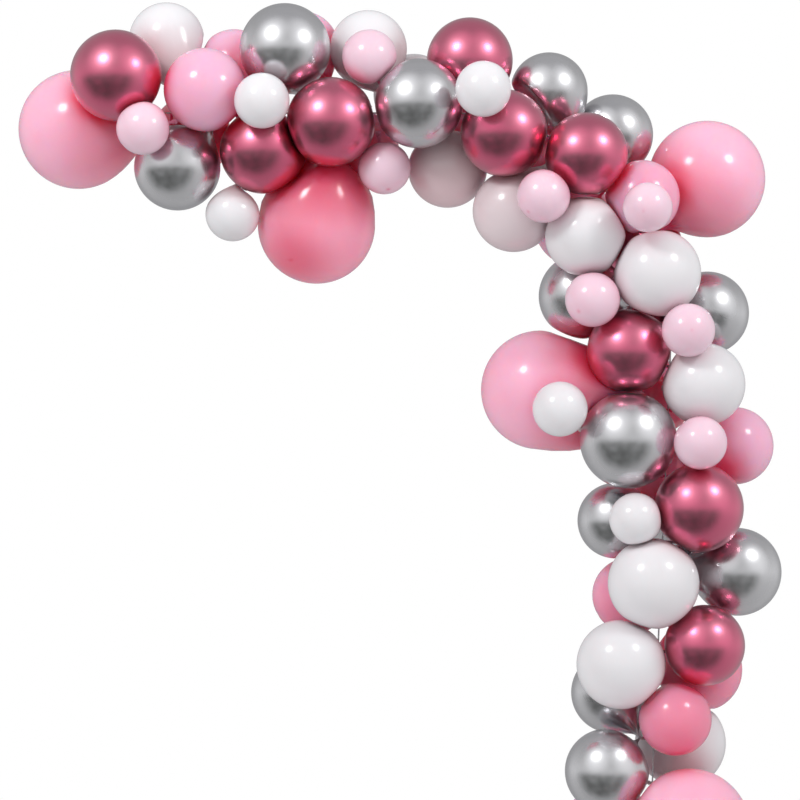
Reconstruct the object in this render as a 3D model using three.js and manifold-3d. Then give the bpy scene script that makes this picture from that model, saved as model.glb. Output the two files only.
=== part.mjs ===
// Balloon garland: a punched plastic strip that runs along an arm, round a bend and down a column,
// with balloons tied into its holes all round and small balloons stuck on with glue dots.
// Millimetres. +X is across to the right, -Y faces the viewer, +Z is up.
// The origin is on the strip's upper face, where the garland hangs.
import * as THREE from 'three';
import { mergeVertices } from 'three/addons/utils/BufferGeometryUtils.js';
import Module from 'manifold-3d';

const wasm = await Module();
wasm.setup();

// the strip
const armLength = 780;
const bendRadius = 555;
const columnLean = 2.4;
const columnLength = 1330;
const stripWidth = 30;
const stripThickness = 1.2;
const holePitch = 55;
const holeLength = 24;
const holeWidth = 12;
const hangHole = 13;

// balloon diameters when blown up
const small = 130;
const medium = 205;
const large = 295;

// the tied neck of a balloon and the room that pieces leave each other
const neckRadius = 3.5;
const knotRadius = 4.5;
const joinRadius = 2;
const knotDrop = 9;
const knotLength = 5;
const neckRise = 22;
const tailAngle = 152;
const longTail = 1.45;
const flareRadius = 10;
const flareHeight = 1.15;
const endHeight = 1.08;
const touchGap = 0.3;
const glueGap = 1;
const coreRoom = 5;
const roomStep = 12;

// how finely the balloons are faceted
const largeSides = 12;
const roundSides = 10;
const backSides = 8;
const backDepth = -78;
const largeFacet = 25;
const roundFacet = 38;
const weldWithin = 1e-4;

const tones = {
  pink: { color: 0xf0a3be, roughness: 0.28, metalness: 0 },
  blush: { color: 0xf3cdd9, roughness: 0.28, metalness: 0 },
  white: { color: 0xe9e7ea, roughness: 0.28, metalness: 0 },
  rose: { color: 0xc24f71, roughness: 0.24, metalness: 0.9 },
  silver: { color: 0xb4b8b8, roughness: 0.24, metalness: 0.9 },
};

// Balloons tied into the strip, from the end of the arm to the foot of the column. A place is the
// distance along the strip, then outwards from its face and towards the viewer. fuller is how much
// wider than its nominal size a balloon was blown up.
const tied = [
  { name: 'pink_large_1', tone: 'pink', size: large, fuller: 5, along: -160, out: -35, front: -70 },
  { name: 'pink_1', tone: 'pink', size: medium, fuller: 0, along: 125, out: -45, front: -120 },
  { name: 'rose_1', tone: 'rose', size: medium, fuller: 20, along: -45, out: 80, front: 115 },
  { name: 'white_1', tone: 'white', size: medium, fuller: -15, along: 65, out: 190, front: -60 },
  { name: 'silver_1', tone: 'silver', size: medium, fuller: 10, along: 100, out: -140, front: 40 },
  { name: 'pink_2', tone: 'pink', size: medium, fuller: 0, along: 175, out: 45, front: 115 },
  { name: 'pink_3', tone: 'pink', size: medium, fuller: -15, along: 235, out: 125, front: -80 },
  { name: 'pink_4', tone: 'pink', size: medium, fuller: 0, along: 305, out: -80, front: -115 },
  { name: 'rose_2', tone: 'rose', size: medium, fuller: 10, along: 315, out: -100, front: 65 },
  { name: 'silver_2', tone: 'silver', size: medium, fuller: 20, along: 370, out: 150, front: 80 },
  { name: 'pink_5', tone: 'pink', size: medium, fuller: -15, along: 405, out: 175, front: -110 },
  { name: 'pink_6', tone: 'pink', size: medium, fuller: 0, along: 550, out: -85, front: -100 },
  { name: 'pink_large_2', tone: 'pink', size: large, fuller: 0, along: 445, out: -280, front: -20 },
  { name: 'rose_3', tone: 'rose', size: medium, fuller: 15, along: 485, out: -35, front: 120 },
  { name: 'white_2', tone: 'white', size: medium, fuller: -10, along: 575, out: 165, front: -40 },
  { name: 'silver_3', tone: 'silver', size: medium, fuller: 15, along: 700, out: 10, front: 125 },
  { name: 'white_3', tone: 'white', size: medium, fuller: -5, along: 775, out: -135, front: -40 },
  { name: 'white_4', tone: 'white', size: medium, fuller: 0, along: 690, out: 60, front: -120 },
  { name: 'rose_4', tone: 'rose', size: medium, fuller: 10, along: 820, out: 130, front: 20 },
  { name: 'rose_5', tone: 'rose', size: medium, fuller: 10, along: 925, out: -45, front: 120 },
  { name: 'pink_7', tone: 'pink', size: medium, fuller: 0, along: 875, out: 0, front: -125 },
  { name: 'pink_8', tone: 'pink', size: medium, fuller: 0, along: 1065, out: -55, front: -115 },
  { name: 'silver_4', tone: 'silver', size: medium, fuller: -10, along: 995, out: 105, front: -20 },
  { name: 'silver_5', tone: 'silver', size: medium, fuller: 0, along: 1160, out: 100, front: -80 },
  { name: 'white_5', tone: 'white', size: medium, fuller: 0, along: 1045, out: -210, front: 40 },
  { name: 'rose_6', tone: 'rose', size: medium, fuller: 0, along: 1140, out: -5, front: 140 },
  { name: 'pink_9', tone: 'pink', size: medium, fuller: 15, along: 1255, out: -125, front: -75 },
  { name: 'white_6', tone: 'white', size: medium, fuller: -5, along: 1305, out: -145, front: 110 },
  { name: 'pink_10', tone: 'pink', size: medium, fuller: -20, along: 1310, out: 25, front: 100 },
  { name: 'pink_large_3', tone: 'pink', size: large, fuller: 0, along: 1350, out: 205, front: -60 },
  { name: 'white_7', tone: 'white', size: medium, fuller: 10, along: 1495, out: -25, front: 120 },
  { name: 'silver_6', tone: 'silver', size: medium, fuller: 10, along: 1495, out: -210, front: -20 },
  { name: 'rose_7', tone: 'rose', size: medium, fuller: 0, along: 1405, out: -10, front: -125 },
  { name: 'rose_8', tone: 'rose', size: medium, fuller: 0, along: 1615, out: -95, front: -115 },
  { name: 'silver_7', tone: 'silver', size: medium, fuller: 5, along: 1605, out: 100, front: -65 },
  { name: 'rose_9', tone: 'rose', size: medium, fuller: 5, along: 1700, out: -110, front: 80 },
  { name: 'white_8', tone: 'white', size: medium, fuller: 0, along: 1775, out: 75, front: 100 },
  { name: 'pink_large_4', tone: 'pink', size: large, fuller: 5, along: 1805, out: -320, front: -40 },
  { name: 'pink_11', tone: 'pink', size: medium, fuller: -10, along: 1810, out: -25, front: -110 },
  { name: 'pink_12', tone: 'pink', size: medium, fuller: -10, along: 2025, out: 10, front: -120 },
  { name: 'silver_8', tone: 'silver', size: medium, fuller: 35, along: 1920, out: -105, front: 100 },
  { name: 'pink_13', tone: 'pink', size: medium, fuller: -10, along: 1925, out: 175, front: -40 },
  { name: 'rose_10', tone: 'rose', size: medium, fuller: 15, along: 2080, out: 75, front: 110 },
  { name: 'silver_9', tone: 'silver', size: medium, fuller: -15, along: 2125, out: -120, front: -10 },
  { name: 'silver_10', tone: 'silver', size: medium, fuller: -5, along: 2210, out: 75, front: -140 },
  { name: 'silver_11', tone: 'silver', size: medium, fuller: 15, along: 2240, out: 190, front: 0 },
  { name: 'white_9', tone: 'white', size: medium, fuller: 20, along: 2270, out: -30, front: 120 },
  { name: 'pink_14', tone: 'pink', size: medium, fuller: -15, along: 2315, out: -70, front: -80 },
  { name: 'pink_15', tone: 'pink', size: medium, fuller: 10, along: 2495, out: 115, front: -80 },
  { name: 'rose_11', tone: 'rose', size: medium, fuller: -5, along: 2420, out: 105, front: 90 },
  { name: 'white_10', tone: 'white', size: medium, fuller: 15, along: 2475, out: -100, front: 100 },
  { name: 'silver_12', tone: 'silver', size: medium, fuller: 0, along: 2565, out: -105, front: -90 },
  { name: 'silver_13', tone: 'silver', size: medium, fuller: 5, along: 2745, out: -120, front: 60 },
  { name: 'pink_16', tone: 'pink', size: medium, fuller: -25, along: 2605, out: 40, front: 95 },
  { name: 'white_11', tone: 'white', size: medium, fuller: 25, along: 2685, out: 75, front: -90 },
  { name: 'white_12', tone: 'white', size: medium, fuller: 0, along: 2900, out: 105, front: -110 },
  { name: 'pink_large_5', tone: 'pink', size: large, fuller: 0, along: 2870, out: 85, front: 125 },
  { name: 'pink_17', tone: 'pink', size: medium, fuller: 0, along: 2890, out: -100, front: -75 },
];

// Balloons knotted together in twos, which share a hole.
const pairs = {
  pink_pair_1: ['pink_large_1', 'pink_1'],
  pink_pair_2: ['pink_3', 'pink_4'],
  pink_pair_3: ['pink_5', 'pink_6'],
  white_pair_1: ['white_3', 'white_4'],
  pink_pair_4: ['pink_7', 'pink_8'],
  silver_pair_1: ['silver_4', 'silver_5'],
  rose_pair_1: ['rose_7', 'rose_8'],
  pink_pair_5: ['pink_11', 'pink_12'],
  silver_pair_2: ['silver_9', 'silver_10'],
  pink_pair_6: ['pink_14', 'pink_15'],
  silver_pair_3: ['silver_12', 'silver_13'],
  white_pair_2: ['white_11', 'white_12'],
};

// Small balloons stuck on with a glue dot. bearing is clockwise from straight up as the viewer
// sees it, and tilt is how far the place on the host turns towards the viewer, both in degrees.
const glued = [
  { name: 'blush_small_1', tone: 'blush', fuller: 0, host: 'silver_1', bearing: -41, tilt: 50 },
  { name: 'white_small_1', tone: 'white', fuller: 5, host: 'rose_2', bearing: 2, tilt: 52 },
  { name: 'white_small_2', tone: 'white', fuller: 5, host: 'rose_2', bearing: -154, tilt: -6 },
  { name: 'blush_small_2', tone: 'blush', fuller: 5, host: 'white_2', bearing: 173, tilt: 76 },
  { name: 'white_small_3', tone: 'white', fuller: 5, host: 'rose_5', bearing: -31, tilt: 52 },
  { name: 'blush_small_3', tone: 'blush', fuller: 0, host: 'rose_3', bearing: 130, tilt: -13 },
  { name: 'blush_small_4', tone: 'blush', fuller: 0, host: 'white_5', bearing: 69, tilt: 65 },
  { name: 'blush_small_5', tone: 'blush', fuller: -10, host: 'pink_10', bearing: 180, tilt: 77 },
  { name: 'blush_small_6', tone: 'blush', fuller: 5, host: 'silver_6', bearing: 133, tilt: 83 },
  { name: 'blush_small_7', tone: 'blush', fuller: 0, host: 'white_8', bearing: -20, tilt: 34 },
  { name: 'white_small_4', tone: 'white', fuller: 5, host: 'pink_large_4', bearing: 142, tilt: 74 },
  { name: 'blush_small_8', tone: 'blush', fuller: 0, host: 'white_8', bearing: -173, tilt: 31 },
  { name: 'white_small_5', tone: 'white', fuller: 0, host: 'silver_9', bearing: 75, tilt: 76 },
];

const towardsViewer = new THREE.Vector3(0, -1, 0);
const bendSweep = THREE.MathUtils.degToRad(90 + columnLean);
const bendLength = bendRadius * bendSweep;
const stripLength = armLength + bendLength + columnLength;
const holeCount = Math.floor(stripLength / holePitch);
const hangAlong = hangHole * holePitch;
const cutDepth = 6 * stripThickness;

// The strip's outer face at a distance along it, with its directions ahead and outwards.
function onStrip(along) {
  const angle = THREE.MathUtils.clamp((along - armLength) / bendRadius, 0, bendSweep);
  const ahead = new THREE.Vector3(Math.cos(angle), 0, -Math.sin(angle));
  const out = new THREE.Vector3(Math.sin(angle), 0, Math.cos(angle));
  const point = new THREE.Vector3(armLength - hangAlong, 0, -bendRadius);
  point.addScaledVector(out, bendRadius);
  const straight = Math.min(along - armLength, 0) + Math.max(along - armLength - bendLength, 0);
  point.addScaledVector(ahead, straight);
  return { point, ahead, out };
}

const holeAlong = (index) => (index + 0.5) * holePitch;

// The pair that a balloon belongs to, or its own name.
function nodeOf(name) {
  return Object.keys(pairs).find((pair) => pairs[pair].includes(name)) ?? name;
}

function materialOf(tone) {
  return new THREE.MeshStandardMaterial(tones[tone]);
}

// A closed geometry with shared vertices, as a solid that can be cut and joined.
function toSolid(geometry) {
  const bare = geometry.index ? geometry.toNonIndexed() : geometry.clone();
  bare.deleteAttribute('normal');
  bare.deleteAttribute('uv');
  const merged = mergeVertices(bare, weldWithin);
  const triangles = [];
  for (let i = 0; i < merged.index.count; i += 3) {
    const [a, b, c] = [merged.index.getX(i), merged.index.getX(i + 1), merged.index.getX(i + 2)];
    if (a !== b && b !== c && c !== a) triangles.push(a, b, c);
  }
  return new wasm.Manifold(new wasm.Mesh({
    numProp: 3,
    vertProperties: new Float32Array(merged.attributes.position.array),
    triVerts: new Uint32Array(triangles),
  }));
}

function toGeometry(solid) {
  const mesh = solid.getMesh();
  const geometry = new THREE.BufferGeometry();
  geometry.setAttribute('position', new THREE.BufferAttribute(mesh.vertProperties, 3));
  geometry.setIndex(new THREE.BufferAttribute(mesh.triVerts, 1));
  geometry.computeVertexNormals();
  return geometry;
}

// The strip: its side outline drawn out to its width, one facet to each hole round the bend.
function stripSolid() {
  const facets = Math.round(bendLength / holePitch);
  const stations = [0];
  for (let i = 0; i <= facets; i += 1) stations.push(armLength + (bendLength * i) / facets);
  stations.push(stripLength);
  const outer = stations.map((along) => onStrip(along).point);
  const inner = stations.map((along) => {
    const { point, out } = onStrip(along);
    return point.addScaledVector(out, -stripThickness);
  });
  const side = new THREE.Shape([...outer, ...inner.reverse()].map((p) => new THREE.Vector2(p.x, p.z)));
  const body = new THREE.ExtrudeGeometry(side, { depth: stripWidth, bevelEnabled: false });
  body.rotateX(Math.PI / 2);
  body.translate(0, stripWidth / 2, 0);
  let solid = toSolid(body);
  for (let i = 0; i < holeCount; i += 1) solid = solid.subtract(toSolid(holeCutter(i)));
  return solid;
}

// A block the size of one hole, through the strip.
function holeCutter(index) {
  const cutter = new THREE.BoxGeometry(holeLength, holeWidth, cutDepth);
  const { point, ahead, out } = onStrip(holeAlong(index));
  const across = new THREE.Vector3().crossVectors(out, ahead);
  cutter.applyMatrix4(new THREE.Matrix4().makeBasis(ahead, across, out));
  cutter.translate(point.x, point.y, point.z);
  return cutter;
}

// Each tie takes the next free hole beside its balloon. A pair shares one.
function giveHoles(balloons) {
  const ties = new Map();
  for (const ball of balloons) {
    ties.set(ball.node, [...(ties.get(ball.node) ?? []), ball]);
  }
  const middle = (group) => group.reduce((sum, ball) => sum + ball.along, 0) / group.length;
  const ordered = [...ties.values()].sort((a, b) => middle(a) - middle(b));
  let free = 0;
  ordered.forEach((group, order) => {
    const beside = Math.round(middle(group) / holePitch - 0.5);
    const last = holeCount - (ordered.length - order);
    const hole = Math.min(Math.max(free, beside), last);
    for (const ball of group) ball.hole = hole;
    free = hole + 1;
  });
}

// Centre, radius and neck of every tied balloon. The neck rises over the hole on the side that the
// balloon lies on, and goes down through it.
function placeTied() {
  const balloons = tied.map((row) => ({ ...row, node: nodeOf(row.name) }));
  giveHoles(balloons);
  for (const ball of balloons) {
    const spot = onStrip(ball.along);
    ball.centre = spot.point.clone();
    ball.centre.addScaledVector(spot.out, ball.out).addScaledVector(towardsViewer, ball.front);
    ball.radius = (ball.size + ball.fuller) / 2;
    ball.sides = ball.front < backDepth ? backSides : roundSides;
    if (ball.size === large) ball.sides = largeSides;
    const hole = onStrip(holeAlong(ball.hole));
    const side = ball.out >= 0 ? 1 : -1;
    ball.rise = neckRise * (1 + Math.abs(ball.front) / Math.hypot(ball.out, ball.front));
    ball.down = hole.out.clone().multiplyScalar(-side);
    ball.tie = hole.point.clone().addScaledVector(hole.out, -stripThickness / 2);
    ball.bend = ball.tie.clone().addScaledVector(ball.down, -ball.rise);
    ball.drop = knotDrop;
  }
  for (const ball of balloons) {
    const first = balloons.find((other) => other.hole === ball.hole);
    ball.joins = first !== ball;
    if (ball.joins && first.down.dot(ball.down) > 0) ball.bend = first.bend;
    if (ball.joins && first.down.dot(ball.down) < 0) first.drop = ball.rise;
  }
  for (const ball of balloons) {
    ball.knot = ball.tie.clone().addScaledVector(ball.down, ball.drop);
    ball.axis = ball.bend.clone().sub(ball.centre).normalize();
  }
  return balloons;
}

// The outline of a balloon above its round, as radius and height over the centre: where the tail
// begins, where a long one has narrowed to its neck, and where the neck bends over the hole.
function tailOf(ball) {
  const angle = THREE.MathUtils.degToRad(tailAngle);
  const outline = [new THREE.Vector2(ball.radius * Math.sin(angle), -ball.radius * Math.cos(angle))];
  if (!ball.tie) return outline;
  const bendHeight = ball.bend.distanceTo(ball.centre);
  if (bendHeight > longTail * ball.radius) {
    outline.push(new THREE.Vector2(flareRadius, flareHeight * ball.radius));
  }
  outline.push(new THREE.Vector2(ball.joins ? joinRadius : neckRadius, bendHeight));
  return outline;
}

// Round rooms in a row along the strip, which every balloon keeps off.
function stripRooms() {
  const rooms = [];
  const count = Math.ceil(stripLength / roomStep);
  for (let i = 0; i <= count; i += 1) {
    rooms.push({ centre: onStrip((stripLength * i) / count).point, room: stripWidth / 2 + coreRoom });
  }
  return rooms;
}

// Round rooms in a row along a tied balloon's tail, neck and knot, which other balloons keep off.
function roomsOf(ball) {
  const rooms = [];
  const outline = tailOf(ball);
  for (let k = 1; k < outline.length; k += 1) {
    const count = Math.ceil(outline[k].distanceTo(outline[k - 1]) / roomStep);
    for (let i = 1; i <= count; i += 1) {
      const spot = outline[k - 1].clone().lerp(outline[k], i / count);
      const centre = ball.centre.clone().addScaledVector(ball.axis, spot.y);
      rooms.push({ centre, room: spot.x + coreRoom });
    }
  }
  if (!ball.joins) rooms.push({ centre: ball.knot, room: knotRadius + coreRoom });
  return rooms;
}

// A glued balloon sits on its host at its bearing and tilt, its tail turned to the strip.
function placeGlued(hosts) {
  return glued.map((row) => {
    const host = hosts.find((ball) => ball.name === row.host);
    const bearing = THREE.MathUtils.degToRad(row.bearing);
    const tilt = THREE.MathUtils.degToRad(row.tilt);
    const radius = (small + row.fuller) / 2;
    const from = new THREE.Vector3(Math.sin(bearing), 0, Math.cos(bearing)).multiplyScalar(Math.cos(tilt));
    from.addScaledVector(towardsViewer, Math.sin(tilt));
    const centre = host.centre.clone().addScaledVector(from, host.radius + radius + glueGap);
    const axis = host.tie.clone().sub(centre).normalize();
    return { ...row, node: row.name, centre, radius, axis, sides: roundSides };
  });
}

// Flat faces that a balloon is pressed to: one against each balloon that it meets, and one against
// each stretch of strip, tail and knot that would lie inside its round.
function facesOf(ball, all) {
  const faces = [];
  const press = (centre, radius) => {
    const towards = centre.clone().sub(ball.centre);
    const distance = towards.length();
    if (distance >= ball.radius + radius + touchGap) return;
    const even = (distance ** 2 + ball.radius ** 2 - radius ** 2) / (2 * distance);
    faces.push({ normal: towards.divideScalar(distance), reach: even - touchGap / 2 });
  };
  const keepOff = (centre, room) => {
    const towards = centre.clone().sub(ball.centre);
    const distance = towards.length();
    const reach = distance - room;
    if (reach < ball.radius) faces.push({ normal: towards.divideScalar(distance), reach });
  };
  for (const { centre, room } of stripRooms()) keepOff(centre, room);
  for (const other of all) {
    if (other !== ball) press(other.centre, other.radius);
    if (!other.tie || other.hole === ball.hole) continue;
    for (const { centre, room } of roomsOf(other)) keepOff(centre, room);
  }
  return faces;
}

// A balloon turned from its crown to its tail, pressed flat where it meets its neighbours. A tied one
// goes on to its neck, which bends down through the hole and ends in the knot.
function balloonSolid(ball, all) {
  const outline = tailOf(ball);
  const bands = Math.round(tailAngle / (ball.size === large ? largeFacet : roundFacet));
  const profile = [new THREE.Vector2(0, -ball.radius)];
  for (let i = 1; i < bands; i += 1) {
    const angle = THREE.MathUtils.degToRad((tailAngle * i) / bands);
    profile.push(new THREE.Vector2(ball.radius * Math.sin(angle), -ball.radius * Math.cos(angle)));
  }
  profile.push(...outline);
  const bendHeight = outline.at(-1).y;
  if (!ball.tie) {
    profile.push(new THREE.Vector2(0, endHeight * ball.radius));
  } else if (ball.joins) {
    profile.push(new THREE.Vector2(0, bendHeight));
  } else {
    profile.push(new THREE.Vector2(knotRadius, bendHeight + ball.rise + ball.drop));
    profile.push(new THREE.Vector2(0, bendHeight + ball.rise + ball.drop + knotLength));
  }
  const geometry = new THREE.LatheGeometry(profile, ball.sides);
  const turn = new THREE.Quaternion().setFromUnitVectors(new THREE.Vector3(0, 1, 0), ball.axis);
  const bendTurn = new THREE.Quaternion();
  if (ball.tie) bendTurn.setFromUnitVectors(ball.axis, ball.down);
  const faces = facesOf(ball, all);
  const bodyTop = outline[0].y + touchGap;
  const position = geometry.attributes.position;
  const point = new THREE.Vector3();
  for (let i = 0; i < position.count; i += 1) {
    point.fromBufferAttribute(position, i);
    const height = point.y;
    if (ball.tie && !ball.joins && height > bendHeight + touchGap) {
      point.y = 0;
      point.applyQuaternion(turn).applyQuaternion(bendTurn).add(ball.bend);
      point.addScaledVector(ball.down, height - bendHeight);
    } else {
      point.applyQuaternion(turn);
      if (!ball.tie || height < bodyTop) pressFlat(point, faces);
      point.add(ball.centre);
    }
    position.setXYZ(i, point.x, point.y, point.z);
  }
  return toSolid(geometry);
}

// Draw a point in towards the centre until it lies behind every face.
function pressFlat(point, faces) {
  let share = 1;
  for (const { normal, reach } of faces) {
    const beyond = point.dot(normal);
    if (beyond > reach) share = Math.min(share, reach / beyond);
  }
  point.multiplyScalar(share);
}

function addMesh(group, name, solid, material) {
  const mesh = new THREE.Mesh(toGeometry(solid), material);
  mesh.name = name;
  group.add(mesh);
}

const garland = new THREE.Group();
garland.name = 'balloon_garland';

const clearPlastic = new THREE.MeshStandardMaterial({ color: 0xdfe3e8, roughness: 0.3, metalness: 0 });
addMesh(garland, 'strip', stripSolid(), clearPlastic);

const tiedBalloons = placeTied();
const balloons = [...tiedBalloons, ...placeGlued(tiedBalloons)];
const nodes = new Map();
for (const ball of balloons) {
  const solid = balloonSolid(ball, balloons);
  const before = nodes.get(ball.node);
  nodes.set(ball.node, { tone: ball.tone, solid: before ? before.solid.add(solid) : solid });
}
for (const [name, { tone, solid }] of nodes) addMesh(garland, name, solid, materialOf(tone));

export default garland;
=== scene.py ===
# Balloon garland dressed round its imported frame: a punched strip with latex and chrome-look
# balloons knotted into its holes and small ones stuck on. Metres, +X right, -Y to the viewer, +Z up.
import math

import bpy
import numpy as np
from mathutils import Matrix


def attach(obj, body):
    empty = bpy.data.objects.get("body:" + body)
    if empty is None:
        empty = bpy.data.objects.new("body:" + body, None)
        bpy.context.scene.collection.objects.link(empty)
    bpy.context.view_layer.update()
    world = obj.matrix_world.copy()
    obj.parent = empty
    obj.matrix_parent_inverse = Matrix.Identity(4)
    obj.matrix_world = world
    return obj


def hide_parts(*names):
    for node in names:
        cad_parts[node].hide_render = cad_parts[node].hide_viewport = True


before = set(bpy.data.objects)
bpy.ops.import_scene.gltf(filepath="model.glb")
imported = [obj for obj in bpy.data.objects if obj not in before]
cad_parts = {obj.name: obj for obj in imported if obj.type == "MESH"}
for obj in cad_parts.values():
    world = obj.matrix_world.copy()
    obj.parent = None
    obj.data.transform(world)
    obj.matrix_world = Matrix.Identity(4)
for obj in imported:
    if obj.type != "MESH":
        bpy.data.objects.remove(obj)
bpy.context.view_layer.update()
print("frame loaded with", len(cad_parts), "nodes")

mm = 0.001
farAway = 9.0  # metres, past everything that a ray from a balloon's centre can meet
tiny = 1e-6  # keeps a division by a cosine from a division by nothing
bodyName = "root"
towardsViewer = np.array([0.0, -1.0, 0.0])


def unit(vectors):  # each vector divided by its own length
    vectors = np.asarray(vectors, float)
    return vectors / np.linalg.norm(vectors, axis=-1, keepdims=True)


def easeIn(values, start, end):  # 3t^2 - 2t^3, with t the share of the way from start to end
    share = np.clip((values - start) / (end - start), 0, 1)
    return share * share * (3 - 2 * share)


def shownAt(right, up, near):  # direction given as the picture shows it
    return unit(np.array([right, -near, up]))


# the strip that everything hangs on
strip = {
    "arm": 780 * mm,
    "bendRadius": 555 * mm,
    "lean": 2.4,  # degrees that the column leans past plumb
    "column": 1330 * mm,
    "width": 30 * mm,
    "thickness": 1.2 * mm,
    "pitch": 55 * mm,
    "hangHole": 13,  # the origin is this many holes from the arm's end
    "bigEye": 6 * mm,  # radius of the keyhole's eye that the knot goes in by
    "smallEye": 3.6 * mm,  # radius of the eye that holds the neck
    "slot": 1.9 * mm,  # half the width of the slot between the eyes
    "holeLength": 24 * mm,
    "rim": 1.05,  # the face's first ring, as a share of the keyhole's outline
    "edge": 0.25 * mm,  # the moulded edge is eased by this much
    "ringPoints": 40,
}
strip["sweep"] = math.radians(90 + strip["lean"])
strip["length"] = strip["arm"] + strip["bendRadius"] * strip["sweep"] + strip["column"]
strip["holes"] = int(strip["length"] // strip["pitch"])


def onStrip(along):
    # point of the outer face at a distance along it, with the directions ahead and outwards: the
    # angle turned is (along - arm) / bend radius, and what is left over runs straight ahead
    along = np.asarray(along, float)
    angle = np.clip((along - strip["arm"]) / strip["bendRadius"], 0, strip["sweep"])
    none = np.zeros_like(angle)
    ahead = np.stack([np.cos(angle), none, -np.sin(angle)], -1)
    out = np.stack([np.sin(angle), none, np.cos(angle)], -1)
    bend = strip["bendRadius"] * strip["sweep"]
    straight = np.minimum(along - strip["arm"], 0) + np.maximum(along - strip["arm"] - bend, 0)
    middle = np.array([strip["arm"] - strip["hangHole"] * strip["pitch"], 0, -strip["bendRadius"]])
    point = middle + out * strip["bendRadius"] + ahead * straight[..., None]
    return point, ahead, out


def holeAlong(index):  # the holes stand one pitch apart, the first half a pitch in
    return (index + 0.5) * strip["pitch"]


# balloons tied into the strip, in mm: width, distance along the strip, out from it, to the viewer
tied = {
    "pink_large_1": (300, -160, -35, -70),
    "pink_1": (205, 125, -45, -120),
    "rose_1": (225, -45, 80, 115),
    "white_1": (190, 65, 190, -60),
    "silver_1": (215, 100, -140, 40),
    "pink_2": (205, 175, 45, 115),
    "pink_3": (190, 235, 125, -80),
    "pink_4": (205, 305, -80, -115),
    "rose_2": (215, 315, -100, 65),
    "silver_2": (225, 370, 150, 80),
    "pink_5": (190, 405, 175, -110),
    "pink_6": (205, 550, -85, -100),
    "pink_large_2": (295, 445, -280, -20),
    "rose_3": (220, 485, -35, 120),
    "white_2": (195, 575, 165, -40),
    "silver_3": (220, 700, 10, 125),
    "white_3": (200, 775, -135, -40),
    "white_4": (205, 690, 60, -120),
    "rose_4": (215, 820, 130, 20),
    "rose_5": (215, 925, -45, 120),
    "pink_7": (205, 875, 0, -125),
    "pink_8": (205, 1065, -55, -115),
    "silver_4": (195, 995, 105, -20),
    "silver_5": (205, 1160, 100, -80),
    "white_5": (205, 1045, -210, 40),
    "rose_6": (205, 1140, -5, 140),
    "pink_9": (220, 1255, -125, -75),
    "white_6": (200, 1305, -145, 110),
    "pink_10": (185, 1310, 25, 100),
    "pink_large_3": (295, 1350, 205, -60),
    "white_7": (215, 1495, -25, 120),
    "silver_6": (215, 1495, -210, -20),
    "rose_7": (205, 1405, -10, -125),
    "rose_8": (205, 1615, -95, -115),
    "silver_7": (210, 1605, 100, -65),
    "rose_9": (210, 1700, -110, 80),
    "white_8": (205, 1775, 75, 100),
    "pink_large_4": (300, 1805, -320, -40),
    "pink_11": (195, 1810, -25, -110),
    "pink_12": (195, 2025, 10, -120),
    "silver_8": (240, 1920, -105, 100),
    "pink_13": (195, 1925, 175, -40),
    "rose_10": (220, 2080, 75, 110),
    "silver_9": (190, 2125, -120, -10),
    "silver_10": (200, 2210, 75, -140),
    "silver_11": (220, 2240, 190, 0),
    "white_9": (225, 2270, -30, 120),
    "pink_14": (190, 2315, -70, -80),
    "pink_15": (215, 2495, 115, -80),
    "rose_11": (200, 2420, 105, 90),
    "white_10": (220, 2475, -100, 100),
    "silver_12": (205, 2565, -105, -90),
    "silver_13": (210, 2745, -120, 60),
    "pink_16": (180, 2605, 40, 95),
    "white_11": (230, 2685, 75, -90),
    "white_12": (205, 2900, 105, -110),
    "pink_large_5": (295, 2870, 85, 125),
    "pink_17": (205, 2890, -100, -75),
}
# balloons whose necks share a knot and a hole
pairs = {
    "pink_pair_1": ("pink_large_1", "pink_1"),
    "pink_pair_2": ("pink_3", "pink_4"),
    "pink_pair_3": ("pink_5", "pink_6"),
    "white_pair_1": ("white_3", "white_4"),
    "pink_pair_4": ("pink_7", "pink_8"),
    "silver_pair_1": ("silver_4", "silver_5"),
    "rose_pair_1": ("rose_7", "rose_8"),
    "pink_pair_5": ("pink_11", "pink_12"),
    "silver_pair_2": ("silver_9", "silver_10"),
    "pink_pair_6": ("pink_14", "pink_15"),
    "silver_pair_3": ("silver_12", "silver_13"),
    "white_pair_2": ("white_11", "white_12"),
}
# small balloons stuck on: width in mm, the balloon it sits on, bearing from straight up, tilt forward
glued = {
    "blush_small_1": (130, "silver_1", -41, 50),
    "white_small_1": (135, "rose_2", 2, 52),
    "white_small_2": (135, "rose_2", -154, -6),
    "blush_small_2": (135, "white_2", 173, 76),
    "white_small_3": (135, "rose_5", -31, 52),
    "blush_small_3": (130, "rose_3", 130, -13),
    "blush_small_4": (130, "white_5", 69, 65),
    "blush_small_5": (120, "pink_10", 180, 77),
    "blush_small_6": (135, "silver_6", 133, 83),
    "blush_small_7": (130, "white_8", -20, 34),
    "white_small_4": (135, "pink_large_4", 142, 74),
    "blush_small_8": (130, "white_8", -173, 31),
    "white_small_5": (130, "silver_9", 75, 76),
}
# where the crown of a small balloon shows: right, up, towards the viewer
crowns = {
    "white_small_2": (-0.1, -0.95, 0.3),
    "blush_small_3": (0.15, -0.85, 0.5),
    "blush_small_4": (-0.6, -0.62, 0.5),
    "blush_small_5": (-0.26, -0.22, 0.94),
    "blush_small_6": (-0.55, -0.46, 0.7),
    "blush_small_7": (0.02, -0.02, 1.0),
    "white_small_4": (-0.5, 0.45, 0.74),
}
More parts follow.
